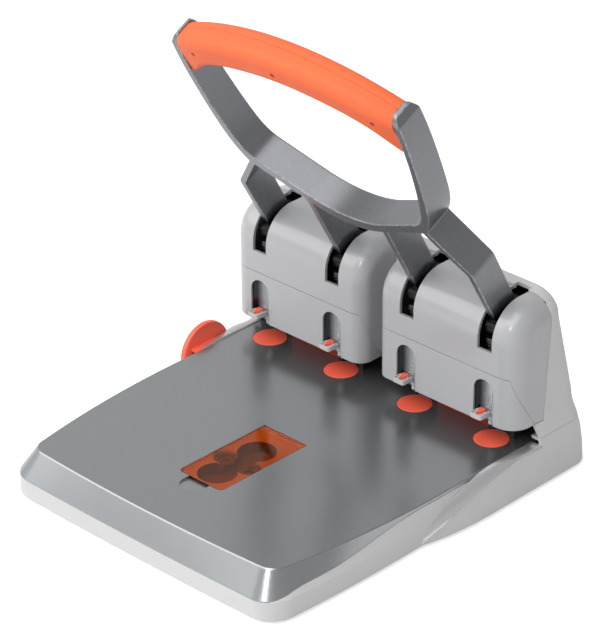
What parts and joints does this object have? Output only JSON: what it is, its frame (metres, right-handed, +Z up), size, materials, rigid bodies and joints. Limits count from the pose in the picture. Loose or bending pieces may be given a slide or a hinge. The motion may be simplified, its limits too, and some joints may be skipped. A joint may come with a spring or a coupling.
{
  "type": "lever hole punch",
  "caption": "Heavy-duty desk punch: a long lever with a soft grip drives hollow pins through a paper stack on a wide table with a side stop.",
  "frame": {"origin": "on the desk, midway between the two ends and straight under the row of punch pins, on the rear rubber strip", "axes": "+X to the right seen from the front, +Y to the back, +Z up"},
  "size_m": [0.3193, 0.3517, 0.3706],
  "materials": {
    "casing_light": "satin moulded plastic, mid grey",
    "casing_dark": "semi-gloss dark grey plastic",
    "rubber": "matte black rubber",
    "steel": "zinc-plated steel",
    "bronze": "sintered bronze",
    "lever_metal": "silver satin casting",
    "grip_orange": "satin orange grip plastic",
    "orange": "semi-gloss red-orange plastic",
    "lid_orange_clear": "transparent amber-orange plastic",
    "clear": "clear plastic",
    "spring_steel": "bright hardened steel",
    "tab_grey": "light grey plastic"
  },
  "bodies": {
    "base": {"base_tray": "casing_light", "bottom_cover": "casing_dark", "rubber_strips": "rubber", "table_cover": "casing_dark", "storage_tray": "casing_dark", "die_plate": "steel", "frame_bolts": "steel", "paper_stops": "orange", "press_frame_right": "steel", "press_frame_left": "steel", "pivot_shaft_right": "steel", "pivot_shaft_left": "steel", "head_upper_cover_right": "casing_light", "head_upper_cover_left": "casing_light", "head_lower_cover_right": "casing_light", "head_lower_cover_left": "casing_light", "shaft_clips": "steel", "stop_rods": "steel", "guide_bushes": "bronze", "rear_housing": "casing_light", "cutting_disc_1": "orange", "pin_cartridge_1": "clear", "pin_spring_1": "spring_steel", "cutting_disc_2": "orange", "pin_cartridge_2": "clear", "pin_spring_2": "spring_steel", "cutting_disc_3": "orange", "pin_cartridge_3": "clear", "pin_spring_3": "spring_steel", "cutting_disc_4": "orange", "pin_cartridge_4": "clear", "pin_spring_4": "spring_steel"},
    "lever": {"lever_frame": "lever_metal", "arm_bushes": "bronze", "thrust_pads": "steel", "grip_front": "grip_orange", "grip_rear": "grip_orange", "grip_screws": "steel"},
    "pin_1": {"punch_pin_1": "spring_steel"},
    "pin_2": {"punch_pin_2": "spring_steel"},
    "pin_3": {"punch_pin_3": "spring_steel"},
    "pin_4": {"punch_pin_4": "spring_steel"},
    "latch_1": {"latch_tab_1": "tab_grey", "latch_pointer_1": "orange"},
    "latch_2": {"latch_tab_2": "tab_grey", "latch_pointer_2": "orange"},
    "latch_3": {"latch_tab_3": "tab_grey", "latch_pointer_3": "orange"},
    "latch_4": {"latch_tab_4": "tab_grey", "latch_pointer_4": "orange"},
    "lid": {"storage_lid": "lid_orange_clear"},
    "side_stop": {"side_stop": "orange"}
  },
  "joints": [
    {"name": "lever_swing", "type": "hinge", "parent": "base", "child": "lever", "pos_m": [0, 0.019, 0.1285], "axis": [1, 0, 0], "range_deg": [0, 45], "stiffness_Nm_per_rad": 2, "springref_deg": -34.38},
    {"name": "pin_slide_1", "type": "slide", "parent": "base", "child": "pin_1", "axis": [0, 0, -1], "range_m": [0, 0.0137], "deforming": ["pin_spring_1"]},
    {"name": "pin_slide_2", "type": "slide", "parent": "base", "child": "pin_2", "axis": [0, 0, -1], "range_m": [0, 0.0137], "deforming": ["pin_spring_2"]},
    {"name": "pin_slide_3", "type": "slide", "parent": "base", "child": "pin_3", "axis": [0, 0, -1], "range_m": [0, 0.0137], "deforming": ["pin_spring_3"]},
    {"name": "pin_slide_4", "type": "slide", "parent": "base", "child": "pin_4", "axis": [0, 0, -1], "range_m": [0, 0.0137], "deforming": ["pin_spring_4"]},
    {"name": "latch_slide_1", "type": "slide", "parent": "base", "child": "latch_1", "axis": [0, -1, 0], "range_m": [0, 0.004]},
    {"name": "latch_slide_2", "type": "slide", "parent": "base", "child": "latch_2", "axis": [0, -1, 0], "range_m": [0, 0.004]},
    {"name": "latch_slide_3", "type": "slide", "parent": "base", "child": "latch_3", "axis": [0, -1, 0], "range_m": [0, 0.004]},
    {"name": "latch_slide_4", "type": "slide", "parent": "base", "child": "latch_4", "axis": [0, -1, 0], "range_m": [0, 0.004]},
    {"name": "lid_hinge", "type": "hinge", "parent": "base", "child": "lid", "pos_m": [0, -0.1072, 0.0376], "axis": [-1, 0, 0], "range_deg": [0, 95]},
    {"name": "side_stop_slide", "type": "slide", "parent": "base", "child": "side_stop", "axis": [-1, 0, 0], "range_m": [0, 0.06]}
  ],
  "couplings": [
    {"joint": "pin_slide_1", "follows": "lever_swing", "m_per_rad": 0.017443},
    {"joint": "pin_slide_2", "follows": "lever_swing", "m_per_rad": 0.017443},
    {"joint": "pin_slide_3", "follows": "lever_swing", "m_per_rad": 0.017443},
    {"joint": "pin_slide_4", "follows": "lever_swing", "m_per_rad": 0.017443}
  ]
}
